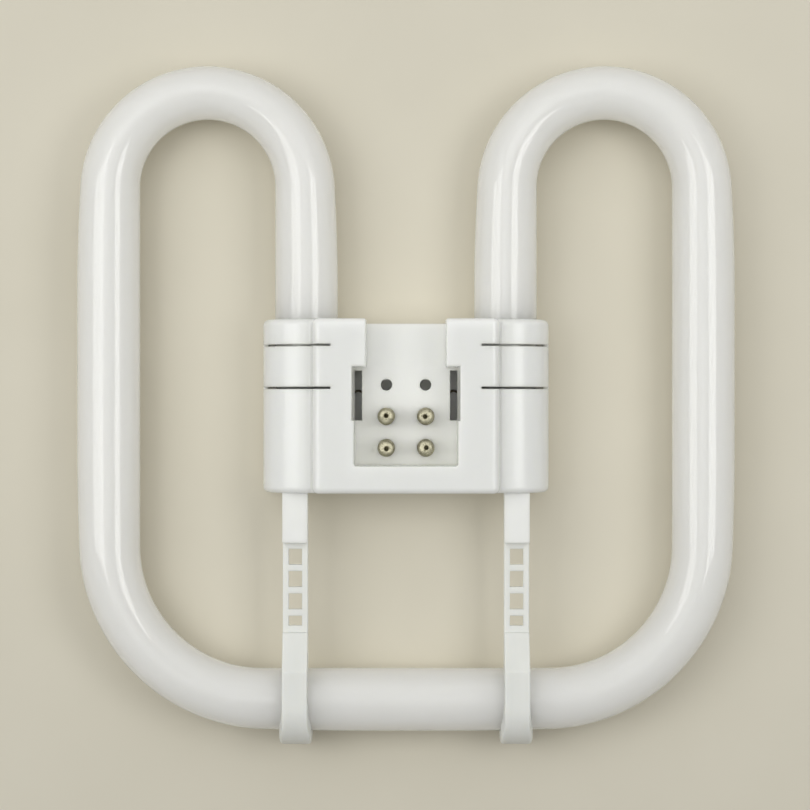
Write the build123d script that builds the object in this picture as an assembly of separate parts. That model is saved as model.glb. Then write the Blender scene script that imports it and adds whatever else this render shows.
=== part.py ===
from build123d import *
import os
from math import asin, ceil, cos, degrees, pi, sin, sqrt

# Square compact fluorescent lamp, lying on its rear face with the contact pins up.
# Millimetres. X runs across the lamp, Y from the bottom run towards the U-bends, Z along the pins.
# The origin lies under the middle of the outline, on the surface that the lamp rests on.

# Outline
lamp_length = 137.55  # from the tops of the U-bends to the ends of the hooks

# Discharge tube
tube_diameter = 12.7
leg_spacing = 40.4  # between the axes of the two inner legs
u_inside_radius = 13.75
u_draw_in = 1.9  # depth that the section loses at the top of a U-bend
corner_inside_radius = 24.8
corner_draw_in = 0.9
bend_blend = 20.0  # straight length beside a bend over which the section turns round again
tube_insertion = 15.2  # glass inside the cap
section_pitch = 5.0  # spacing of the sections that shape a bend
end_shoulder = 2.4  # rounding of the sealed tube ends
flare_mouth = 6.0
flare_throat = 5.2
flare_depth = 3.0
exhaust_diameter = 2.0
exhaust_length = 4.6
exhaust_tip_radius = 0.8

# Cap, front moulding
cap_rise = 42.1  # from the axis of the bottom run to the lower edge of the cap
cap_height = 34.95
hump_wall = 1.2
tube_clearance = 0.15
hump_end_radius = 1.2
panel_inset = 1.5  # of the panel's sides inside the tube axes
panel_rise = 3.0  # of the flat panel above the crests of the humps
panel_wall = 1.2
panel_edge_radius = 1.6
valley_radius = 0.8  # between a hump and the side of the panel
bottom_wall = 1.3
top_wall = 2.0
recess_width = 20.75
recess_length = 19.9
recess_lift = 5.45  # from the lower edge of the cap to the recess
recess_depth = 9.3
recess_wall = 1.2
recess_corner = 0.5
recess_rim_radius = 0.35
floor_thickness = 1.4
channel_width = 16.1
channel_setback = 0.8  # of the channel floor behind the upper face of the cap
latch_slot_width = 1.45
latch_slot_length = 10.1
latch_slot_inset = 0.7
latch_lead_in = 0.45

# Snap bands that close the cap
band_slot = 0.45
band_drop = 5.3  # from the upper face of the cap to the upper slot
band_pitch = 8.55
band_reach = 5.2  # of the slots past the tube axis, towards the middle
band_skirt = 3.8
band_thickness = 1.0
barb_width = 4.0
barb_height = 1.7
barb_reach = 0.75

# Cap, rear cover
rest_depth = 8.2  # from the tube's plane to the surface that the lamp rests on
cover_wall = 1.0
cover_floor = 1.2
cover_corner = 4.0
nest_gap = 0.05
saddle_thickness = 2.0
saddle_lift = 5.0  # from the sealed tube end to the middle of its saddle
saddle_inset = 6.8  # from the tube axis to the inner end of its saddle
catch_gap = 0.15

# Contact pins, on the standard rectangle of four
pin_spacing_x = 7.92
pin_spacing_y = 6.35
pin_row_lift = 9.05  # from the lower edge of the cap to the lower row
pin_diameter = 3.5
pin_length = 6.8
pin_tip_radius = 1.2
pin_dimple = 0.8
pin_dimple_depth = 1.5
shank_diameter = 2.26
shank_hole = 2.3
rivet_diameter = 3.0
rivet_height = 0.5
shank_stub = 0.4  # shank past the rivet head
shank_bore = 0.7
shank_bore_depth = 1.6

# Lead wires
wire_diameter = 0.5
wire_offset = 1.85  # from the tube axis, where the wires leave the flare
wire_level = 4.3  # depth of the runs to the pins, below the tube's plane
wire_bend = 1.2
wire_end_gap = 0.1
upper_lead = 1.9  # straight wire outside the tube end
lower_lead = 3.6
upper_turn = (-5.6, -2.6, 0.6)  # from the tube axis, the tube end and the level of the runs
lower_turn = (-3.2, -8.2, 0.5)
slot_pass = (0, 1.2, 0.3)  # from the latch slot, the tube end and the level of the runs
pin_pass = (0.4, -1.3, 0.1)  # from the latch slot, the lower row and the level of the runs

# Tube hooks and the tongues that hold them
arm_offset = 2.1  # of an arm outside the tube axis above it
arm_width = 5.1
tongue_length = 10.15
tongue_front = 5.6  # above the tube's plane
tongue_thickness = 1.6
tongue_edge_radius = 0.3
tooth_width = 2.3
tooth_depth = 1.5
tooth_length = 2.2
tooth_gap = 0.1
strap_thickness = 1.9
strap_gap = 0.1
strap_tail = 4.4  # strap inside the cap
strap_end_radius = 1.2
strap_edge_radius = 0.3
window_width = 2.7
window_length = 3.2
window_pitch = 4.5
window_count = 6
last_window_length = 2.0
first_rung = 2.3  # from the lower face of the cap to the first window
strap_block_gap = 1.4  # from the last window to the block
block_step = 0.7  # of the block in front of the ladder
hook_front = 8.1  # front of the hook above the tube's plane
hook_reach = 9.0  # from the axis of the bottom run to the end of the lamp
hook_clearance = 0.12
hook_wrap = 75.0  # degrees that the hook runs on behind the bottom run
hook_back_width = 6.4
flare_start = 6.8  # height above the tube's plane at which the hook starts to widen
flare_end = 4.5
hook_edge_radius = 0.7

# Places that follow from the sizes
tube_radius = tube_diameter / 2
leg_x = leg_spacing / 2
u_x = leg_x + tube_radius + u_inside_radius
outer_leg_x = u_x + u_inside_radius + tube_radius
run_y = hook_reach - lamp_length / 2
u_y = lamp_length / 2 - u_inside_radius - tube_diameter + u_draw_in
axis_z = rest_depth
cap_bottom = run_y + cap_rise
cap_top = cap_bottom + cap_height
tube_end = cap_top - tube_insertion
bore_radius = tube_radius + tube_clearance
hump_radius = bore_radius + hump_wall
band_side = leg_x + hump_radius
cover_side = band_side + nest_gap + cover_wall
hump_reach = cover_side - leg_x
panel_side = leg_x - panel_inset
panel_z = axis_z + hump_radius + panel_rise
floor_z = panel_z - recess_depth
floor_under = floor_z - floor_thickness
recess_bottom = cap_bottom + recess_lift
recess_top = recess_bottom + recess_length
inside_bottom = cap_bottom + bottom_wall
inside_top = cap_top - top_wall
channel_end = cap_top - channel_setback
upper_slot_y = cap_top - band_drop
lower_slot_y = upper_slot_y - band_pitch
arm_x = leg_x + arm_offset
tongue_end = cap_bottom - tongue_length
tongue_back = axis_z + tongue_front - tongue_thickness
strap_front = tongue_back - strap_gap
strap_back = strap_front - strap_thickness
lower_row_y = cap_bottom + pin_row_lift
upper_row_y = lower_row_y + pin_spacing_y
past = 2.0  # how far a cut runs past the face that it opens


def block(x_range, y_range, z_range):
    """A box between two planes on each axis."""
    ranges = (x_range, y_range, z_range)
    sizes = [high - low for low, high in ranges]
    middle = [(low + high) / 2 for low, high in ranges]
    return Pos(*middle) * Box(*sizes)


def along_y(outline, y_low, y_high):
    """A solid with an outline in X and Z, between two planes across Y."""
    return extrude(Plane.XZ.offset(-y_high) * outline, y_high - y_low)


def both_sides(piece):
    """A piece of the right half with its mirror image."""
    return piece + mirror(piece, Plane.YZ)


def round_run(start, end, radius):
    """A straight round bar between two points."""
    run = Vector(*end) - Vector(*start)
    return extrude(Plane(start, z_dir=run) * Circle(radius), run.length)


def tube_bend(centre, outward, travel, turn, inside_radius, draw_in):
    """A bend of the tube: its inside wall is a true arc, and its outer wall is drawn in.

    The depth falls by draw_in times (1 - cos) / 2 over the bend and the straight run on each side.
    """
    axis_radius = inside_radius + tube_radius
    arc = turn * axis_radius
    total = arc + 2 * bend_blend

    def section(along):
        depth = tube_diameter - draw_in * (1 - cos(2 * pi * along / total)) / 2
        on_arc = min(max(along - bend_blend, 0), arc)
        straight = along - bend_blend - on_arc
        angle = on_arc / axis_radius
        normal = outward * cos(angle) + travel * sin(angle)
        heading = travel * cos(angle) - outward * sin(angle)
        middle = centre + normal * (inside_radius + depth / 2) + heading * straight
        return Plane(middle, x_dir=(0, 0, 1), z_dir=heading) * Ellipse(tube_radius, depth / 2)

    bend = Part()
    for start, length in ((0, bend_blend), (bend_blend, arc), (bend_blend + arc, bend_blend)):
        count = ceil(length / section_pitch)
        bend += loft([section(start + length * index / count) for index in range(count + 1)])
    return bend


def sealed_leg():
    """The inner leg of the right half, with its rounded end, stem flare and exhaust tip."""
    leg = round_run((leg_x, tube_end, axis_z), (leg_x, u_y - bend_blend, axis_z), tube_radius)
    rim = leg.edges().filter_by(GeomType.CIRCLE).sort_by(Axis.Y)[0]
    leg = fillet(rim, end_shoulder)
    grounded = (Align.CENTER, Align.CENTER, Align.MIN)
    mouth = Plane((leg_x, tube_end, axis_z), z_dir=(0, 1, 0))
    leg -= mouth * Cone(flare_mouth / 2, flare_throat / 2, flare_depth, align=grounded)
    stem = Plane((leg_x, tube_end + flare_depth, axis_z), z_dir=(0, -1, 0))
    tip = Cylinder(exhaust_diameter / 2, exhaust_length, align=grounded)
    tip = fillet(tip.edges().group_by(Axis.Z)[-1], exhaust_tip_radius)
    return leg + stem * tip


def discharge_tube():
    """The sealed glass tube: two U-bends, two corners and the bottom run, bent from one length."""
    corner_x = outer_leg_x - tube_radius - corner_inside_radius
    corner_y = run_y + tube_radius + corner_inside_radius
    left, right, up, down = Vector(-1, 0, 0), Vector(1, 0, 0), Vector(0, 1, 0), Vector(0, -1, 0)
    u_centre = Vector(u_x, u_y, axis_z)
    corner_centre = Vector(corner_x, corner_y, axis_z)
    u_bend = tube_bend(u_centre, left, up, pi, u_inside_radius, u_draw_in)
    corner = tube_bend(corner_centre, right, down, pi / 2, corner_inside_radius, corner_draw_in)
    outer_leg = round_run(
        (outer_leg_x, u_y - bend_blend, axis_z),
        (outer_leg_x, corner_y + bend_blend, axis_z),
        tube_radius,
    )
    run_end = corner_x - bend_blend
    bottom_run = round_run((-run_end, run_y, axis_z), (run_end, run_y, axis_z), tube_radius)
    return both_sides(sealed_leg() + u_bend + outer_leg + corner) + bottom_run


def tube_bores():
    """Room for the two tube ends, from the bottom wall of the cap out through its upper face."""
    bore = round_run((leg_x, inside_bottom, axis_z), (leg_x, cap_top + past, axis_z), bore_radius)
    return both_sides(bore)


def channel_notch():
    """The set-back of the cap's upper face across the mouth of the channel."""
    return block(
        (-channel_width / 2, channel_width / 2),
        (channel_end, cap_top + past),
        (-past, panel_z + past),
    )


def front_shell():
    """The outer walls of the front moulding: two humps over the tube ends and the raised panel.

    The humps are half ellipses, as wide as the rear cover that they stand on.
    """
    height = panel_z - axis_z
    outline = Pos(0, axis_z + height / 2) * Rectangle(2 * panel_side, height)
    for x in (-leg_x, leg_x):
        half = Pos(x, axis_z + hump_radius / 2) * Rectangle(2 * hump_reach, hump_radius)
        outline += Pos(x, axis_z) * Ellipse(hump_reach, hump_radius) & half
    outline = fillet(outline.vertices().group_by(Axis.Y)[-1], panel_edge_radius)
    valleys = outline.vertices().filter_by(lambda corner: abs(abs(corner.X) - panel_side) < hump_wall)
    outline = fillet(valleys.group_by(Axis.Y)[0], valley_radius)
    shell = along_y(outline, cap_bottom, cap_top)
    ends = shell.faces().filter_by(Axis.Y)
    rims = ends.edges().filter_by(lambda edge: edge.center().Z > axis_z + nest_gap)
    shell = fillet(rims, hump_end_radius)
    hollow = block(
        (-panel_side + panel_wall, panel_side - panel_wall),
        (inside_bottom, inside_top),
        (axis_z - past, panel_z - panel_wall),
    )
    return shell - hollow - tube_bores()


def recess_space(grow, z_range):
    """The T-shaped recess, a wide part with a channel to the upper face, widened by a wall."""
    wide_x = recess_width / 2 + grow
    channel_x = channel_width / 2 + grow
    upper_end = inside_top if grow else cap_top + past
    wide = block((-wide_x, wide_x), (recess_bottom - grow, recess_top + grow), z_range)
    wide = fillet(wide.edges().filter_by(Axis.Z), recess_corner)
    return wide + block((-channel_x, channel_x), (recess_bottom, upper_end), z_range)


def latch_slot():
    """The right latch slot through the recess floor, with the sloped lead-in on the wall above it."""
    wall_x = recess_width / 2
    slot_top = recess_top - latch_slot_inset
    slot_bottom = slot_top - latch_slot_length
    slot = block(
        (wall_x - latch_slot_width, wall_x), (slot_bottom, slot_top), (floor_under - past, floor_z + past)
    )
    slope = Polyline(
        (wall_x - recess_corner, floor_z),
        (wall_x, floor_z),
        (wall_x + latch_lead_in, panel_z),
        (wall_x - recess_corner, panel_z),
        close=True,
    )
    return slot + along_y(make_face(slope), slot_bottom, recess_top)


def snap_band():
    """The skirt of the right snap band, with the barb that catches in the rear cover."""
    half_gap = band_slot / 2
    skirt = block(
        (band_side - band_thickness, band_side),
        (lower_slot_y + half_gap, upper_slot_y - half_gap),
        (axis_z - band_skirt, axis_z),
    )
    barb_low = axis_z - band_skirt
    wedge = Polyline(
        (band_side - band_thickness / 2, barb_low),
        (band_side, barb_low),
        (band_side + barb_reach, barb_low + barb_height),
        (band_side - band_thickness / 2, barb_low + barb_height),
        close=True,
    )
    middle = (upper_slot_y + lower_slot_y) / 2
    return skirt + along_y(make_face(wedge), middle - barb_width / 2, middle + barb_width / 2)


def band_slots():
    """The two slots that free the right snap band, from the panel over the hump to its lower edge."""
    slots = Part()
    for y in (upper_slot_y, lower_slot_y):
        slots += block(
            (leg_x - band_reach, cover_side + past),
            (y - band_slot / 2, y + band_slot / 2),
            (axis_z - past, panel_z + past),
        )
    return slots


def hook_tongue():
    """The right tongue below the cap, with the tooth that holds the strap of the hook."""
    half_width = arm_width / 2
    tongue = block(
        (arm_x - half_width, arm_x + half_width),
        (tongue_end, inside_bottom),
        (tongue_back, axis_z + tongue_front),
    )
    tongue = fillet(tongue.edges().group_by(Axis.Y)[0], tongue_edge_radius)
    tooth_top = window_top(1) - tooth_gap
    tooth = Polyline(
        (tooth_top, tongue_back + tongue_thickness / 2),
        (tooth_top, tongue_back - tooth_depth),
        (tooth_top - tooth_length, tongue_back),
        (tooth_top - tooth_length, tongue_back + tongue_thickness / 2),
        close=True,
    )
    side = Plane.YZ.offset(arm_x - tooth_width / 2)
    return tongue + extrude(side * make_face(tooth), tooth_width)


def strap_mouth():
    """The opening in the lower wall of the cap for the tail of the right strap."""
    half_width = arm_width / 2 + strap_gap
    return block(
        (arm_x - half_width, arm_x + half_width),
        (cap_bottom - past, inside_bottom + past),
        (strap_back - strap_gap, tongue_back),
    )


def pin_places():
    """Centres of the four contact pins."""
    half_x = pin_spacing_x / 2
    return [(x, y) for y in (upper_row_y, lower_row_y) for x in (-half_x, half_x)]


def floor_holes():
    """Holes through the recess floor: one for each pin and two more that stay empty."""
    spare_y = upper_row_y + pin_spacing_y
    spare = [(x, spare_y) for x in (-pin_spacing_x / 2, pin_spacing_x / 2)]
    holes = Part()
    for x, y in pin_places() + spare:
        holes += round_run((x, y, floor_under - past), (x, y, floor_z + past), shank_hole / 2)
    return holes


def recess_rim(mould):
    """Edges of the recess and its channel in the flat face of the panel."""
    reach = recess_width / 2 + latch_lead_in + nest_gap
    upper_end = cap_top - hump_end_radius - nest_gap
    edges = mould.faces().sort_by(Axis.Z)[-1].edges()
    edges = edges.filter_by(lambda edge: abs(edge.center().X) < reach)
    return edges.filter_by(lambda edge: inside_bottom < edge.center().Y < upper_end)


def cap_front():
    """The front moulding of the cap."""
    mould = front_shell()
    mould += recess_space(recess_wall, (floor_under, panel_z - panel_wall / 2)) - tube_bores()
    channel_x = channel_width / 2 + recess_wall
    mould += block((-channel_x, channel_x), (inside_top, cap_top), (floor_under, floor_z))
    mould -= recess_space(0, (floor_z, panel_z + past))
    mould -= channel_notch()
    mould -= both_sides(latch_slot())
    mould = fillet(recess_rim(mould), recess_rim_radius)
    mould -= both_sides(band_slots())
    mould -= floor_holes()
    mould += both_sides(snap_band() + hook_tongue())
    return mould - both_sides(strap_mouth()) - tube_bores()


def cover_outline(inset, floor):
    """The section of the rear cover: upright sides and a flat floor with large round corners."""
    half_width = cover_side - inset
    height = rest_depth - floor
    outline = Pos(0, floor + height) * Rectangle(2 * half_width, 2 * height)
    outline = fillet(outline.vertices(), cover_corner - inset)
    return outline & Pos(0, floor + height / 2) * Rectangle(2 * half_width, height)


def tube_saddle():
    """The rib in the rear cover that carries the right tube end."""
    middle = tube_end + saddle_lift
    return block(
        (leg_x - saddle_inset, band_side),
        (middle - saddle_thickness / 2, middle + saddle_thickness / 2),
        (cover_floor / 2, axis_z - strap_gap),
    )


def band_pocket():
    """Room in the rear cover for the skirt of the right snap band and the hole for its barb."""
    middle = (upper_slot_y + lower_slot_y) / 2
    half_band = band_pitch / 2
    half_barb = barb_width / 2 + catch_gap
    barb_low = axis_z - band_skirt
    room = block(
        (band_side - band_thickness - catch_gap, band_side + nest_gap),
        (middle - half_band, middle + half_band),
        (barb_low - catch_gap, axis_z + past),
    )
    hole = block(
        (band_side, cover_side + past),
        (middle - half_barb, middle + half_barb),
        (barb_low - catch_gap, barb_low + barb_height + catch_gap),
    )
    return room + hole


def cap_rear():
    """The rear cover of the cap."""
    cover = along_y(cover_outline(0, 0), cap_bottom, cap_top)
    rims = cover.faces().sort_by(Axis.Y)
    rounded = rims[0].edges() + rims[-1].edges()
    cover = fillet(rounded.filter_by(lambda edge: edge.center().Z < axis_z - nest_gap), hump_end_radius)
    cover -= along_y(cover_outline(cover_wall, cover_floor), inside_bottom, inside_top)
    cover += both_sides(tube_saddle())
    channel_x = channel_width / 2 + recess_wall + catch_gap
    cover -= block(
        (-channel_x, channel_x), (inside_top - past, cap_top + past), (floor_under - catch_gap, axis_z + past)
    )
    return cover - both_sides(band_pocket()) - tube_bores() - channel_notch()


def contact_pin(x, y):
    """A solid pin with a domed, dimpled tip, riveted through the recess floor."""
    grounded = (Align.CENTER, Align.CENTER, Align.MIN)
    hung = (Align.CENTER, Align.CENTER, Align.MAX)
    body = Cylinder(pin_diameter / 2, pin_length, align=grounded)
    body = fillet(body.edges().group_by(Axis.Z)[-1], pin_tip_radius)
    dimple = Pos(0, 0, pin_length) * Cylinder(pin_dimple / 2, pin_dimple_depth, align=hung)
    shank_length = floor_thickness + rivet_height + shank_stub
    shank = Cylinder(shank_diameter / 2, shank_length, align=hung)
    rivet = Pos(0, 0, -floor_thickness) * Cylinder(rivet_diameter / 2, rivet_height, align=hung)
    bore = Pos(0, 0, -shank_length) * Cylinder(shank_bore / 2, shank_bore_depth, align=grounded)
    return Pos(x, y, floor_z) * (body - dimple + shank + rivet - bore)


def lead_wire(route):
    """A bare lead wire along straight runs joined by arcs."""
    path = FilletPolyline(*route, radius=wire_bend)
    start = Plane(route[0], z_dir=Vector(*route[1]) - Vector(*route[0]))
    return sweep(start * Circle(wire_diameter / 2), path=path)


def right_routes():
    """Routes of the two right lead wires, from the flare of the tube end to the upper and lower pin.

    The upper one passes under the latch slot.
    """
    pin_x = pin_spacing_x / 2
    seal_y = tube_end + flare_depth
    run_z = axis_z - wire_level
    slot_x = (recess_width - latch_slot_width) / 2
    bore_top = floor_under - rivet_height - shank_stub + shank_bore_depth - wire_end_gap
    tube_place = Vector(leg_x, tube_end, run_z)
    upper = (
        (leg_x - wire_offset, seal_y, axis_z),
        (leg_x - wire_offset, tube_end - upper_lead, axis_z),
        tube_place + upper_turn,
        Vector(slot_x, tube_end, run_z) + slot_pass,
        (pin_x, upper_row_y, run_z),
        (pin_x, upper_row_y, bore_top),
    )
    lower = (
        (leg_x + wire_offset, seal_y, axis_z),
        (leg_x + wire_offset, tube_end - lower_lead, axis_z),
        tube_place + lower_turn,
        Vector(slot_x, lower_row_y, run_z) + pin_pass,
        (pin_x, lower_row_y, run_z),
        (pin_x, lower_row_y, bore_top),
    )
    return upper, lower


def window_top(index):
    """Upper edge of a window of the strap, counted down from the cap."""
    return cap_bottom - first_rung - index * window_pitch


def strap():
    """The ladder strap of the right hook, with its tail inside the cap."""
    half_width = arm_width / 2
    ladder = block(
        (arm_x - half_width, arm_x + half_width),
        (block_top(), inside_bottom + strap_tail),
        (strap_back, strap_front),
    )
    corners = ladder.edges().filter_by(Axis.Z).group_by(Axis.Y)[-1]
    ladder = fillet(corners, strap_end_radius)
    ladder = fillet(ladder.edges().filter_by(Axis.Y), strap_edge_radius)
    for index in range(window_count):
        length = last_window_length if index == window_count - 1 else window_length
        top = window_top(index)
        ladder -= block(
            (arm_x - window_width / 2, arm_x + window_width / 2),
            (top - length, top),
            (strap_back - past, strap_front + past),
        )
    return ladder


def block_top():
    """Upper end of the block of the hook, below the last window."""
    return window_top(window_count - 1) - last_window_length - strap_block_gap


def hook_outline():
    """Side view of the block and the hook: a ramp up to the bottom run, then round its far side."""
    grip = tube_radius + hook_clearance
    offset = hook_reach - hook_front
    back = strap_back - axis_z
    step_top = strap_front + block_step - axis_z
    seat = degrees(asin(back / grip))
    last = 180 + hook_wrap
    outer = CenterArc((run_y - offset, 0), hook_front, 90, 90 + hook_wrap)
    inner = CenterArc((run_y, 0), grip, seat, last - seat)
    front = Polyline(
        (run_y + sqrt(grip**2 - back**2), back),
        (block_top(), back),
        (block_top(), step_top),
        (run_y + tube_radius, hook_front),
        (run_y - offset, hook_front),
    )
    tip = Line(outer @ 1, inner @ 1)
    return Pos(0, axis_z) * make_face(front + outer + tip + inner)


def tube_hook():
    """The right hook: a ladder strap that runs into the cap and a hook round the bottom run.

    The hook is as wide as the strap in front of the bottom run, and flares out as it turns behind it.
    """
    half_back = hook_back_width / 2
    half_front = arm_width / 2
    narrow = extrude(Plane.YZ.offset(arm_x - half_front) * hook_outline(), arm_width)
    sides = narrow.faces().filter_by(Axis.X).edges()
    ramp = sides.filter_by(lambda edge: edge.center().Z > strap_front and edge.center().Y < block_top() - past)
    far_side = sides.filter_by(lambda edge: edge.center().Y < run_y - tube_radius)
    narrow = fillet(ramp.filter_by(GeomType.LINE) + far_side, strap_edge_radius)
    wide = extrude(Plane.YZ.offset(arm_x - half_back) * hook_outline(), hook_back_width)
    flare = Polyline(
        (arm_x + half_front, axis_z + flare_start),
        (arm_x + half_back, axis_z + flare_end),
        (arm_x + half_back, -past),
        (arm_x - half_back, -past),
        (arm_x - half_back, axis_z + flare_end),
        (arm_x - half_front, axis_z + flare_start),
        close=True,
    )
    outside = wide.faces().filter_by(GeomType.CYLINDER).sort_by(lambda face: face.radius)[-1]
    wide = fillet(outside.edges().filter_by(Axis.X, reverse=True), hook_edge_radius)
    wide &= along_y(make_face(flare), run_y - hook_reach - past, run_y)
    return strap() + narrow + wide


hook_right = tube_hook()
tube_hooks = {"tube_hook_right": hook_right, "tube_hook_left": mirror(hook_right, Plane.YZ)}
pins = {f"contact_pin_{index + 1}": contact_pin(*place) for index, place in enumerate(pin_places())}
wires = {}
for name, route in zip(("upper", "lower"), right_routes()):
    wire = lead_wire(route)
    wires[f"lead_wire_{name}_right"] = wire
    wires[f"lead_wire_{name}_left"] = mirror(wire, Plane.YZ)

parts = {
    "discharge_tube": discharge_tube(),
    "cap_front": cap_front(),
    "cap_rear": cap_rear(),
    **tube_hooks,
    **pins,
    **wires,
}

os.makedirs("parts", exist_ok=True)
for name, piece in parts.items():
    export_step(piece, f"parts/{name}.step")
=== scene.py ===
import bpy
import numpy as np
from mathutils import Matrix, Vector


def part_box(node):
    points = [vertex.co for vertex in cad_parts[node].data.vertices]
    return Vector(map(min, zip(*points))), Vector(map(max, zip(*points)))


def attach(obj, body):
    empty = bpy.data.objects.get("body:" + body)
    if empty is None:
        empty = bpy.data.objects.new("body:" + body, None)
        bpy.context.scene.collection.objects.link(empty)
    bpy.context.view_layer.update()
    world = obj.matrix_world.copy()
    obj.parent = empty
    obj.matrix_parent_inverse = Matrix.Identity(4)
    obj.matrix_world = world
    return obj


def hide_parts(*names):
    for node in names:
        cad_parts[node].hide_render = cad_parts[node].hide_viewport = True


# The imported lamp: it lies on its rear face with the contact pins up.
# Metres; X runs across the lamp, Y from the bottom run towards the U-bends, Z along the pins.
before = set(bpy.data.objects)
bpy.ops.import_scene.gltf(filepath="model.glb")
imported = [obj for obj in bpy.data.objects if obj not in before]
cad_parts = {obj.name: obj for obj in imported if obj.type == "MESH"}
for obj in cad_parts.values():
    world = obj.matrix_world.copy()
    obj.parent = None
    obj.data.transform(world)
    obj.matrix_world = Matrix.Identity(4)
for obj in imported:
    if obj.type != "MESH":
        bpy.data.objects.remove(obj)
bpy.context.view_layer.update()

# Discharge tube.
# One length of soda-lime glass tube, softened and bent round formers into two U-bends and two corners.
# It is coated inside with white phosphor powder, and both ends are melted shut round a stem.
MM = 0.001
TUBE_RADIUS = 6.35 * MM
U_INSIDE = 13.75 * MM
U_DRAW_IN = 1.9 * MM
CORNER_INSIDE = 24.8 * MM
CORNER_DRAW_IN = 0.9 * MM
BEND_BLEND = 20.0 * MM
TUBE_INSERTION = 15.2 * MM
STATION_PITCH = 0.75 * MM
TUBE_SIDES = 96
END_SHOULDER = 2.4 * MM
END_RIM = 3.5 * MM
FLARE_MOUTH = 3.0 * MM
FLARE_EDGE = 0.06 * MM
FLARE_FLOOR = 2.6 * MM
FLARE_DEPTH = 3.0 * MM
EXHAUST_RADIUS = 1.0 * MM
EXHAUST_ROUND = 0.8 * MM
EXHAUST_REACH = 2.4 * MM


def bent_axis(low, high, end_y):
    """Stations along the bent tube: distance, place, outward normal, heading and half depth.

    The axis is a chain of straight runs and arcs that all turn the same way. Inside a bend and for one
    blend length beside it, the depth of the section falls by draw-in times (1 - cos) / 2, and the section
    moves towards the bend, so the inside wall stays a true arc.
    """
    u_radius = U_INSIDE + TUBE_RADIUS
    corner_radius = CORNER_INSIDE + TUBE_RADIUS
    outer_x = high[0] - TUBE_RADIUS
    run_y = low[1] + TUBE_RADIUS
    u_y = high[1] - U_INSIDE - 2 * TUBE_RADIUS + U_DRAW_IN
    leg = (u_y - end_y, 0, 0)
    side = (u_y - run_y - corner_radius, 0, 0)
    run = (2 * (outer_x - corner_radius), 0, 0)
    u_bend = (np.pi * u_radius, np.pi, U_DRAW_IN)
    corner = (np.pi / 2 * corner_radius, np.pi / 2, CORNER_DRAW_IN)
    chain = np.array([leg, u_bend, side, corner, run, corner, side, u_bend, leg])
    starts = np.cumsum(chain[:, 0]) - chain[:, 0]
    headings = np.cumsum(chain[:, 1]) - chain[:, 1]
    along = np.linspace(0, chain[:, 0].sum(), int(chain[:, 0].sum() / STATION_PITCH))
    place = np.tile([outer_x - 2 * u_radius, end_y], (len(along), 1))
    turned = np.zeros_like(along)
    draw_in = np.zeros_like(along)
    for (length, turn, lost), start, first in zip(chain, starts, headings):
        gone = np.clip(along - start, 0, length)
        if turn:
            swing = first + gone / length * turn
            chord = np.stack([np.cos(first) - np.cos(swing), np.sin(swing) - np.sin(first)], axis=1)
            place += chord * length / turn
            turned += gone / length * turn
            share = np.clip((along - start + BEND_BLEND) / (length + 2 * BEND_BLEND), 0, 1)
            draw_in += lost * (1 - np.cos(2 * np.pi * share)) / 2
        else:
            place += np.outer(gone, [np.sin(first), np.cos(first)])
    normal = np.stack([-np.cos(turned), np.sin(turned)], axis=1)
    place -= normal * (draw_in / 2)[:, None]
    level = np.full((len(along), 1), (low[2] + high[2]) / 2)
    flat = np.zeros_like(level)
    heading = np.stack([np.sin(turned), np.cos(turned), 0 * turned], axis=1)
    return along, np.hstack([place, level]), np.hstack([normal, flat]), heading, TUBE_RADIUS - draw_in / 2


def sealed_end(place, heading):
    """Rings of one sealed end, from the exhaust tip out to the full tube: middle and radius.

    The tip and the shoulder are quarter circles. Between them the rings go down the exhaust stem, out over
    the floor of the flare and up to the flat rim.
    """
    tip = np.linspace(0, np.pi / 2, 6)
    shoulder = np.linspace(0, np.pi / 2, 9)
    radius = np.concatenate([
        EXHAUST_RADIUS - EXHAUST_ROUND * (1 - np.sin(tip)),
        [EXHAUST_RADIUS, FLARE_FLOOR, FLARE_MOUTH, FLARE_MOUTH, END_RIM],
        TUBE_RADIUS - END_SHOULDER * (1 - np.sin(shoulder)),
    ])
    behind = np.concatenate([
        EXHAUST_ROUND * (1 - np.cos(tip)) - EXHAUST_REACH,
        [FLARE_DEPTH, FLARE_DEPTH, FLARE_EDGE, 0, 0],
        END_SHOULDER * (1 - np.cos(shoulder)),
    ])
    return place + np.outer(behind, heading), radius


def surface(name, points, uv=None, closed_ends=True):
    """A mesh from a grid of points (rows, columns, 3).

    Rows run along the piece and columns close round it. One face closes each end, unless the ends are open.
    """
    rows, columns = points.shape[:2]
    index = np.arange(rows * columns).reshape(rows, columns)
    after = np.roll(index, -1, axis=1)
    faces = np.stack([index[:-1], index[1:], after[1:], after[:-1]], axis=-1).reshape(-1, 4)
    ends = [index[0].tolist(), index[-1][::-1].tolist()] if closed_ends else []
    mesh = bpy.data.meshes.new(name)
    mesh.from_pydata(points.reshape(-1, 3), [], faces.tolist() + ends)
    mesh.polygons.foreach_set("use_smooth", np.ones(len(mesh.polygons), bool))
    if uv is not None:
        corner_vertex = np.empty(len(mesh.loops), int)
        mesh.loops.foreach_get("vertex_index", corner_vertex)
        layer = mesh.uv_layers.new(name="along_and_round")
        layer.data.foreach_set("uv", uv.reshape(-1, 2)[corner_vertex].ravel().astype(np.float32))
    mesh.update()
    piece = bpy.data.objects.new(name, mesh)
    bpy.context.scene.collection.objects.link(piece)
    return piece


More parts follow.
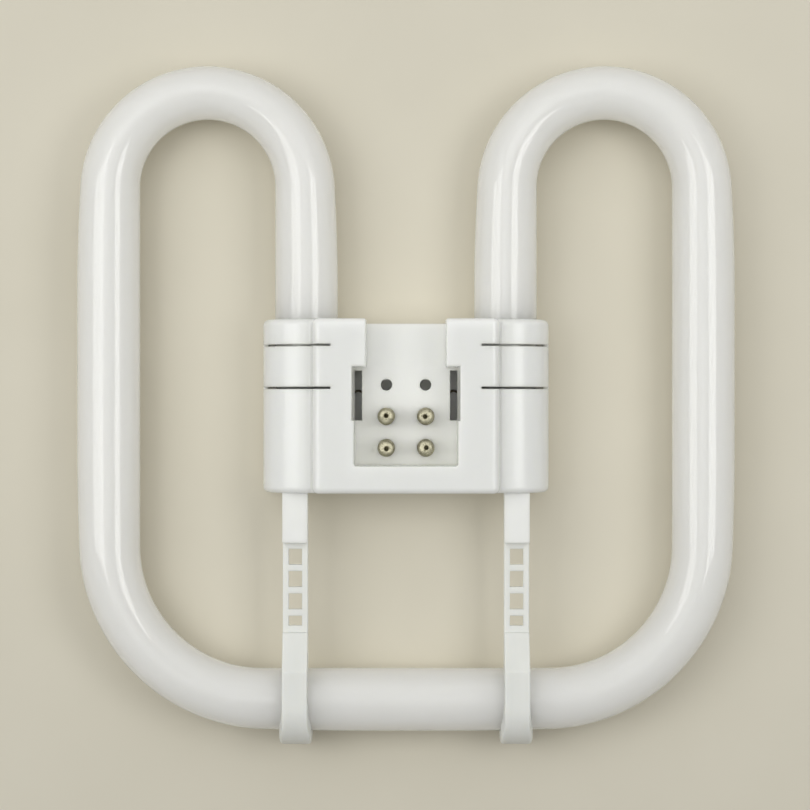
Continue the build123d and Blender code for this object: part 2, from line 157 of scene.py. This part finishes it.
# Each section is an ellipse, its half depth across the bend and the tube's radius upright.
# The UV map holds metres along the tube, and metres round it, the same on both halves so it has no seam.
tube_low, tube_high = (np.array(corner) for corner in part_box("discharge_tube"))
cap_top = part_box("cap_front")[1][1]
along, place, normal, heading, depth = bent_axis(tube_low, tube_high, cap_top - TUBE_INSERTION)
past_shoulder = (along > END_SHOULDER) & (along < along[-1] - END_SHOULDER)
first_middle, first_radius = sealed_end(place[0], heading[0])
last_middle, last_radius = sealed_end(place[-1], -heading[-1])
rings = len(first_radius)
middle = np.concatenate([first_middle, place[past_shoulder], last_middle[::-1]])
across = np.concatenate([first_radius, depth[past_shoulder], last_radius[::-1]])
upright = np.concatenate([first_radius, np.full(past_shoulder.sum(), TUBE_RADIUS), last_radius[::-1]])
outward = np.concatenate([
    np.tile(normal[0], (rings, 1)), normal[past_shoulder], np.tile(normal[-1], (rings, 1)),
])
distance = np.concatenate([np.zeros(rings), along[past_shoulder], np.full(rings, along[-1])])
angle = np.linspace(0, 2 * np.pi, TUBE_SIDES, endpoint=False)
glass_points = (
    middle[:, None]
    + (across[:, None] * np.cos(angle))[..., None] * outward[:, None]
    - (upright[:, None] * np.sin(angle))[..., None] * np.array([0, 0, 1.0])
)
round_tube = np.abs((angle + np.pi / 2) % (2 * np.pi) - np.pi) * TUBE_RADIUS
glass_uv = np.stack(np.broadcast_arrays(distance[:, None], round_tube[None]), axis=-1)
glass_tube = surface("glass_tube", glass_points, glass_uv)


def linear(code):
    """An sRGB hex colour as linear RGBA."""
    srgb = np.array([int(code[i : i + 2], 16) for i in (1, 3, 5)]) / 255
    light = np.where(srgb <= 0.04045, srgb / 12.92, ((srgb + 0.055) / 1.055) ** 2.4)
    return (*light.tolist(), 1.0)


def add(tree, kind, links=(), **settings):
    """Adds a node: settings are its properties, and links give input name or number and value or socket."""
    node = tree.nodes.new(kind)
    for key, value in settings.items():
        setattr(node, key, value)
    for key, value in links:
        if isinstance(value, bpy.types.NodeSocket):
            tree.links.new(value, node.inputs[key])
        else:
            node.inputs[key].default_value = value
    return node


def new_material(name):
    """A node material and its empty tree."""
    material = bpy.data.materials.new(name)
    material.use_nodes = True
    material.node_tree.nodes.clear()
    return material, material.node_tree


# Soda-lime glass over white phosphor: a smooth, clear gloss on a chalky ground that light soaks through.
# The powder settles unevenly along the tube, and drawing leaves faint lines that run its length.
# Its real grain is too fine to show, so it is drawn at 0.6 mm.
SETTLING_LENGTH = 45 * MM
SETTLING_WIDTH = 18 * MM
POWDER_GRAIN = 0.6 * MM
DRAWN_LENGTH = 60 * MM
DRAWN_SPACING = 1.1 * MM
DRAWN_DEPTH = 0.06 * MM
coated_glass, tree = new_material("phosphor_coated_glass")
run = add(tree, "ShaderNodeUVMap", uv_map="along_and_round")
cloud = add(
    tree, "ShaderNodeMapping",
    [("Vector", run.outputs["UV"]), ("Scale", (1 / SETTLING_LENGTH, 1 / SETTLING_WIDTH, 1))],
)
settling = add(
    tree, "ShaderNodeTexNoise",
    [("Vector", cloud.outputs["Vector"]), ("Scale", 1.0), ("Detail", 3.0)],
)
solid = add(tree, "ShaderNodeTexCoord")
powder = add(
    tree, "ShaderNodeTexNoise",
    [("Vector", solid.outputs["Object"]), ("Scale", 1 / POWDER_GRAIN), ("Detail", 2.0), ("Roughness", 0.6)],
)
coat = add(
    tree, "ShaderNodeMix",
    [(0, settling.outputs["Fac"]), (6, linear("#f5f5f1")), (7, linear("#fbfbf7"))],
    data_type="RGBA",
)
grain = add(
    tree, "ShaderNodeMix",
    [(0, 0.05), (6, coat.outputs[2]), (7, powder.outputs["Color"])],
    data_type="RGBA", blend_type="SOFT_LIGHT",
)
haze = add(
    tree, "ShaderNodeMapRange",
    [
        ("Value", settling.outputs["Fac"]), ("From Min", 0.3), ("From Max", 0.7),
        ("To Min", 0.05), ("To Max", 0.1),
    ],
)
draw = add(
    tree, "ShaderNodeMapping",
    [("Vector", run.outputs["UV"]), ("Scale", (1 / DRAWN_LENGTH, 1 / DRAWN_SPACING, 1))],
)
lines = add(
    tree, "ShaderNodeTexNoise",
    [("Vector", draw.outputs["Vector"]), ("Scale", 1.0), ("Detail", 2.0)],
)
ripple = add(
    tree, "ShaderNodeBump",
    [("Height", lines.outputs["Fac"]), ("Strength", 0.25), ("Distance", DRAWN_DEPTH)],
)
shader = add(
    tree, "ShaderNodeBsdfPrincipled",
    [
        ("Base Color", grain.outputs[2]), ("Roughness", haze.outputs["Result"]), ("IOR", 1.52),
        ("Normal", ripple.outputs["Normal"]), ("Subsurface Weight", 1.0),
        ("Subsurface Radius", (1.0, 1.0, 0.95)), ("Subsurface Scale", 34 * MM),
    ],
)
add(tree, "ShaderNodeOutputMaterial", [("Surface", shader.outputs["BSDF"])])
glass_tube.data.materials.append(coated_glass)
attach(glass_tube, "root")
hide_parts("discharge_tube")

# Lead wires.
# Four bare nickel-iron wires that come through the seals of the tube and end in the pins.
# They are drawn wire with a dull oxide film, dark and half matt, and only a short dash of two of them shows.
OXIDE_PATCH = 0.8 * MM
bare_wire, tree = new_material("oxidised_lead_wire")
solid = add(tree, "ShaderNodeTexCoord")
film = add(tree, "ShaderNodeTexNoise", [("Vector", solid.outputs["Object"]), ("Scale", 1 / OXIDE_PATCH)])
tone = add(
    tree, "ShaderNodeMix",
    [(0, film.outputs["Fac"]), (6, linear("#3a352b")), (7, linear("#5d5545"))],
    data_type="RGBA",
)
shader = add(
    tree, "ShaderNodeBsdfPrincipled",
    [("Base Color", tone.outputs[2]), ("Metallic", 1.0), ("Roughness", 0.45)],
)
add(tree, "ShaderNodeOutputMaterial", [("Surface", shader.outputs["BSDF"])])
for row in ("upper", "lower"):
    for side in ("right", "left"):
        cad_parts[f"lead_wire_{row}_{side}"].material_slots[0].material = bare_wire

# Contact pins.
# Brass pins, turned with a hole down the tip, tinned, and riveted through the floor of the recess.
# Each tip is domed, and the solder that holds the lead wire sets unevenly round the small open hole.
PIN_RADIUS = 1.75 * MM
PIN_FLOOR = 9.6 * MM
PIN_SIDES = 64
LIP_RADIUS = 0.55 * MM
TIP_RISE = 1.2 * MM
HOLE_DRIFT = 0.17 * MM
SOLDER_RADIUS = 0.75 * MM
SOLDER_SPREAD = 0.45 * MM
SOLDER_DEPTH = 0.6 * MM
SOLDER_WAVE = 0.05 * MM
SOLDER_SINK = 1.9
PHASE_STEP = 1.7
# Radius and depth below the tip, from the bottom of the hole up to its rounded lip.
HOLE_PROFILE = np.array([(0.02, 4.0), (0.32, 4.0), (0.36, 0.3), (0.41, 0.14), (0.52, 0.03)]) * MM
# Radius and height above the recess floor, down the outside: a turned ring, the foot, the shank, the rivet
# head below the floor, and the stub.
SHANK_PROFILE = np.array([
    (1.75, 2.3), (1.72, 2.26), (1.72, 2.14), (1.75, 2.1), (1.75, 0.0), (1.13, 0.0), (1.13, -1.42),
    (1.5, -1.42), (1.5, -1.88), (1.13, -1.88), (1.13, -2.28), (0.02, -2.28),
]) * MM


def turned_pin(name, x, y, top_z, phase):
    """A profile of radius and height turned about an upright axis: hole, quarter-ellipse dome, shank.

    Near the tip the height rises and falls by small waves round the axis, as set solder does, and the axis
    drifts to one side, so the hole sits a little off the middle.
    """
    dome = np.linspace(0, np.pi / 2, 12)
    radius = np.concatenate([
        HOLE_PROFILE[:, 0], LIP_RADIUS + (PIN_RADIUS - LIP_RADIUS) * np.sin(dome), SHANK_PROFILE[:, 0],
    ])
    height = np.concatenate([
        top_z - HOLE_PROFILE[:, 1], top_z - TIP_RISE * (1 - np.cos(dome)), PIN_FLOOR + SHANK_PROFILE[:, 1],
    ])
    turn = np.linspace(0, 2 * np.pi, PIN_SIDES, endpoint=False)
    wave = np.sin(2 * turn + phase) + 0.6 * np.sin(3 * turn + 2.1 * phase) + 0.4 * np.sin(5 * turn - phase)
    solder = np.exp(-(((radius - SOLDER_RADIUS) / SOLDER_SPREAD) ** 2)) * (height > top_z - SOLDER_DEPTH)
    z = height[:, None] + SOLDER_WAVE * solder[:, None] * (wave - SOLDER_SINK)
    drift = HOLE_DRIFT * np.clip(1 - radius / PIN_RADIUS, 0, 1) * (height > PIN_FLOOR)
    ring = radius[:, None, None] * np.stack([np.cos(turn), np.sin(turn)], axis=-1)
    aside = drift[:, None, None] * np.array([np.cos(phase), np.sin(phase)])
    points = np.concatenate([ring + aside + np.array([x, y]), z[..., None]], axis=-1)
    return surface(name, points)


# Tin over brass: a warm grey metal, dull in patches, with dark specks where the flux burned.
TIN_PATCH = 0.9 * MM
FLUX_SPECK = 0.3 * MM
TIN_RELIEF = 0.1 * MM
tinned_brass, tree = new_material("tinned_brass")
solid = add(tree, "ShaderNodeTexCoord")
patch = add(
    tree, "ShaderNodeTexNoise",
    [("Vector", solid.outputs["Object"]), ("Scale", 1 / TIN_PATCH), ("Detail", 4.0), ("Roughness", 0.7)],
)
speck = add(
    tree, "ShaderNodeTexNoise",
    [("Vector", solid.outputs["Object"]), ("Scale", 1 / FLUX_SPECK), ("Detail", 1.0)],
)
tone = add(
    tree, "ShaderNodeMix",
    [(0, patch.outputs["Fac"]), (6, linear("#938e77")), (7, linear("#cfcab3"))],
    data_type="RGBA",
)
stain = add(
    tree, "ShaderNodeMapRange",
    [
        ("Value", speck.outputs["Fac"]), ("From Min", 0.56), ("From Max", 0.7),
        ("To Min", 0.0), ("To Max", 0.7),
    ],
)
spotted = add(
    tree, "ShaderNodeMix",
    [(0, stain.outputs["Result"]), (6, tone.outputs[2]), (7, linear("#4a4738"))],
    data_type="RGBA",
)
dull = add(
    tree, "ShaderNodeMapRange",
    [
        ("Value", patch.outputs["Fac"]), ("From Min", 0.3), ("From Max", 0.7),
        ("To Min", 0.34), ("To Max", 0.55),
    ],
)
pimple = add(
    tree, "ShaderNodeBump",
    [("Height", patch.outputs["Fac"]), ("Strength", 0.6), ("Distance", TIN_RELIEF)],
)
shader = add(
    tree, "ShaderNodeBsdfPrincipled",
    [
        ("Base Color", spotted.outputs[2]), ("Metallic", 1.0), ("Roughness", dull.outputs["Result"]),
        ("Normal", pimple.outputs["Normal"]),
    ],
)
add(tree, "ShaderNodeOutputMaterial", [("Surface", shader.outputs["BSDF"])])
for number in (1, 2, 3, 4):
    low, high = (np.array(corner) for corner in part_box(f"contact_pin_{number}"))
    x, y = (low[:2] + high[:2]) / 2
    pin = turned_pin(f"tinned_pin_{number}", x, y, high[2], PHASE_STEP * number)
    pin.data.materials.append(tinned_brass)
    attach(pin, "root")
    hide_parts(f"contact_pin_{number}")

# Cap.
# Front moulding and rear cover, moulded in white polyester and snapped together round the tube ends.
# The tool was spark-eroded to a fine satin, and every corner is slightly rounded.
CAP_EDGE = 0.3 * MM

# Moulded polyester: the satin softens the gloss, and light soaks a little way into the white plastic.
# The pits left by the sparks are too fine to show, so they are drawn at 0.5 mm.
FLOW_PATCH = 12 * MM
SPARK_PIT = 0.5 * MM
SPARK_DEPTH = 0.03 * MM
satin_polyester, tree = new_material("moulded_white_polyester")
solid = add(tree, "ShaderNodeTexCoord")
flow = add(
    tree, "ShaderNodeTexNoise",
    [("Vector", solid.outputs["Object"]), ("Scale", 1 / FLOW_PATCH), ("Detail", 2.0)],
)
spark = add(
    tree, "ShaderNodeTexNoise",
    [("Vector", solid.outputs["Object"]), ("Scale", 1 / SPARK_PIT), ("Detail", 2.0), ("Roughness", 0.6)],
)
tone = add(
    tree, "ShaderNodeMix",
    [(0, flow.outputs["Fac"]), (6, linear("#fbfbf7")), (7, linear("#fefefa"))],
    data_type="RGBA",
)
satin = add(
    tree, "ShaderNodeMapRange",
    [
        ("Value", flow.outputs["Fac"]), ("From Min", 0.3), ("From Max", 0.7),
        ("To Min", 0.2), ("To Max", 0.26),
    ],
)
soft_edge = add(tree, "ShaderNodeBevel", [("Radius", CAP_EDGE)], samples=6)
texture = add(
    tree, "ShaderNodeBump",
    [
        ("Height", spark.outputs["Fac"]), ("Strength", 0.15), ("Distance", SPARK_DEPTH),
        ("Normal", soft_edge.outputs[0]),
    ],
)
shader = add(
    tree, "ShaderNodeBsdfPrincipled",
    [
        ("Base Color", tone.outputs[2]), ("Roughness", satin.outputs["Result"]), ("IOR", 1.55),
        ("Normal", texture.outputs["Normal"]), ("Subsurface Weight", 1.0),
        ("Subsurface Radius", (1.0, 0.99, 1.06)), ("Subsurface Scale", 2.2 * MM),
    ],
)
add(tree, "ShaderNodeOutputMaterial", [("Surface", shader.outputs["BSDF"])])
for node in ("cap_front", "cap_rear"):
    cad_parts[node].material_slots[0].material = satin_polyester

# Tube hooks.
# Two flexible straps that hold the bottom run, moulded in white polypropylene and hung in the cap.
# The plastic is waxier and a shade greyer than the cap, with flow marks that run along the strap.
MARK_LENGTH = 20 * MM
MARK_WIDTH = 2 * MM
MARK_DEPTH = 0.04 * MM
HOOK_EDGE = 0.25 * MM
waxy_strap, tree = new_material("moulded_white_polypropylene")
solid = add(tree, "ShaderNodeTexCoord")
drawn = add(
    tree, "ShaderNodeMapping",
    [("Vector", solid.outputs["Object"]), ("Scale", (1 / MARK_WIDTH, 1 / MARK_LENGTH, 1 / MARK_WIDTH))],
)
flow = add(
    tree, "ShaderNodeTexNoise",
    [("Vector", drawn.outputs["Vector"]), ("Scale", 1.0), ("Detail", 2.0)],
)
tone = add(
    tree, "ShaderNodeMix",
    [(0, flow.outputs["Fac"]), (6, linear("#e5e6e3")), (7, linear("#ededeb"))],
    data_type="RGBA",
)
wax = add(
    tree, "ShaderNodeMapRange",
    [
        ("Value", flow.outputs["Fac"]), ("From Min", 0.3), ("From Max", 0.7),
        ("To Min", 0.36), ("To Max", 0.46),
    ],
)
soft_edge = add(tree, "ShaderNodeBevel", [("Radius", HOOK_EDGE)], samples=6)
texture = add(
    tree, "ShaderNodeBump",
    [
        ("Height", flow.outputs["Fac"]), ("Strength", 0.2), ("Distance", MARK_DEPTH),
        ("Normal", soft_edge.outputs[0]),
    ],
)
shader = add(
    tree, "ShaderNodeBsdfPrincipled",
    [
        ("Base Color", tone.outputs[2]), ("Roughness", wax.outputs["Result"]), ("IOR", 1.49),
        ("Normal", texture.outputs["Normal"]), ("Subsurface Weight", 1.0),
        ("Subsurface Radius", (1.0, 0.97, 0.9)), ("Subsurface Scale", 1.0 * MM),
    ],
)
add(tree, "ShaderNodeOutputMaterial", [("Surface", shader.outputs["BSDF"])])
for side in ("right", "left"):
    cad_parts[f"tube_hook_{side}"].material_slots[0].material = waxy_strap

# Floor.
# The surface that the lamp lies on: a round, matt, warm grey sheet, wide enough to fill low views.
# It is set a hair below the rear cover, and it is stage, not part of the lamp.
SHEET_RADIUS = 2.0
SHEET_TOP = -0.2 * MM
FIBRE_PATCH = 30 * MM
reach = np.linspace(0, SHEET_RADIUS, 25)[:, None]
turn = np.linspace(0, 2 * np.pi, 96, endpoint=False)
disc = np.stack(np.broadcast_arrays(reach * np.cos(turn), reach * np.sin(turn), SHEET_TOP), axis=-1)
floor = surface("floor_sheet", disc, closed_ends=False)
matt_sheet, tree = new_material("matt_warm_sheet")
solid = add(tree, "ShaderNodeTexCoord")
fibre = add(
    tree, "ShaderNodeTexNoise",
    [("Vector", solid.outputs["Object"]), ("Scale", 1 / FIBRE_PATCH), ("Detail", 3.0)],
)
tone = add(
    tree, "ShaderNodeMix",
    [(0, fibre.outputs["Fac"]), (6, linear("#d3cdbe")), (7, linear("#dad4c6"))],
    data_type="RGBA",
)
shader = add(
    tree, "ShaderNodeBsdfPrincipled",
    [("Base Color", tone.outputs[2]), ("Roughness", 0.9), ("Specular IOR Level", 0.2)],
)
add(tree, "ShaderNodeOutputMaterial", [("Surface", shader.outputs["BSDF"])])
floor.data.materials.append(matt_sheet)

# Room.
# The pale walls of a light tent, brighter at the back, with a soft glow a little left of straight above.
# Seen directly, through glass or in a gloss, the walls are paler than the light that they give.
DAYLIGHT = linear("#fefffc")
FRONT_WALL = 0.19
BACK_WALL = 0.30
PALE_WALL = 0.6
GLOW = 1.4
GLOW_FOCUS = 12.0
overhead = np.array([-0.2, 0.1, 1.0])
overhead /= np.linalg.norm(overhead)
world = bpy.data.worlds.new("soft_room")
bpy.context.scene.world = world
world.use_nodes = True
tree = world.node_tree
tree.nodes.clear()
where = add(tree, "ShaderNodeTexCoord")
axes = add(tree, "ShaderNodeSeparateXYZ", [("Vector", where.outputs["Generated"])])
walls = add(
    tree, "ShaderNodeMapRange",
    [
        ("Value", axes.outputs["Y"]), ("From Min", -1.0), ("From Max", 1.0),
        ("To Min", FRONT_WALL), ("To Max", BACK_WALL),
    ],
)
facing = add(
    tree, "ShaderNodeVectorMath",
    [(0, where.outputs["Generated"]), (1, overhead.tolist())],
    operation="DOT_PRODUCT",
)
ahead = add(tree, "ShaderNodeMath", [(0, facing.outputs["Value"]), (1, 0.0)], operation="MAXIMUM")
spread = add(tree, "ShaderNodeMath", [(0, ahead.outputs[0]), (1, GLOW_FOCUS)], operation="POWER")
room = add(
    tree, "ShaderNodeMath",
    [(0, spread.outputs[0]), (1, GLOW), (2, walls.outputs["Result"])],
    operation="MULTIPLY_ADD",
)
ray = add(tree, "ShaderNodeLightPath")
seen = add(
    tree, "ShaderNodeMath",
    [(0, ray.outputs["Is Camera Ray"]), (1, ray.outputs["Is Transmission Ray"])],
    operation="MAXIMUM",
)
mirrored = add(
    tree, "ShaderNodeMath",
    [(0, seen.outputs[0]), (1, ray.outputs["Is Glossy Ray"])],
    operation="MAXIMUM",
)
pale = add(tree, "ShaderNodeMath", [(0, mirrored.outputs[0]), (1, PALE_WALL)], operation="MULTIPLY")
level = add(tree, "ShaderNodeMath", [(0, room.outputs[0]), (1, pale.outputs[0])], operation="MAXIMUM")
background = add(tree, "ShaderNodeBackground", [("Color", DAYLIGHT), ("Strength", level.outputs[0])])
add(tree, "ShaderNodeOutputWorld", [("Surface", background.outputs["Background"])])

# Light panels.
# A wide panel left of the camera, a narrow one right of it, and a large weak one behind, all facing down.
# Each row is name, place across and along the lamp, width, length and radiance.
PANEL_HEIGHT = 0.385
panels = (
    ("left_panel", -0.34, 0.03, 0.38, 0.21, 2.8),
    ("right_panel", 0.26, 0.03, 0.22, 0.21, 3.5),
    ("back_panel", -0.02, 0.36, 0.9, 0.5, 0.6),
)
for name, x, y, width, length, radiance in panels:
    lamp = bpy.data.lights.new(name, "AREA")
    lamp.shape = "RECTANGLE"
    lamp.size = width
    lamp.size_y = length
    lamp.energy = radiance * np.pi * width * length
    lamp.color = DAYLIGHT[:3]
    panel = bpy.data.objects.new(name, lamp)
    panel.location = (x, y, PANEL_HEIGHT)
    bpy.context.scene.collection.objects.link(panel)

# White pieces pass light on many times, so the paths are long.
bpy.context.scene.cycles.diffuse_bounces = 12
bpy.context.scene.cycles.max_bounces = 16

# Camera.
# It looks straight down from 0.48 m above the middle of the tube, with the U-bends at the top of the picture.
CAMERA_ASIDE = -0.2 * MM
CAMERA_ABOVE = 0.48
TUBE_LEVEL = 8.2 * MM
camera_data = bpy.data.cameras.new("camera")
camera_data.lens = 105.0
camera_data.sensor_width = 36.0
camera = bpy.data.objects.new("camera", camera_data)
camera.location = (CAMERA_ASIDE, 0.0, TUBE_LEVEL + CAMERA_ABOVE)
bpy.context.scene.collection.objects.link(camera)
bpy.context.scene.camera = camera

bpy.context.scene.view_settings.view_transform = "Standard"
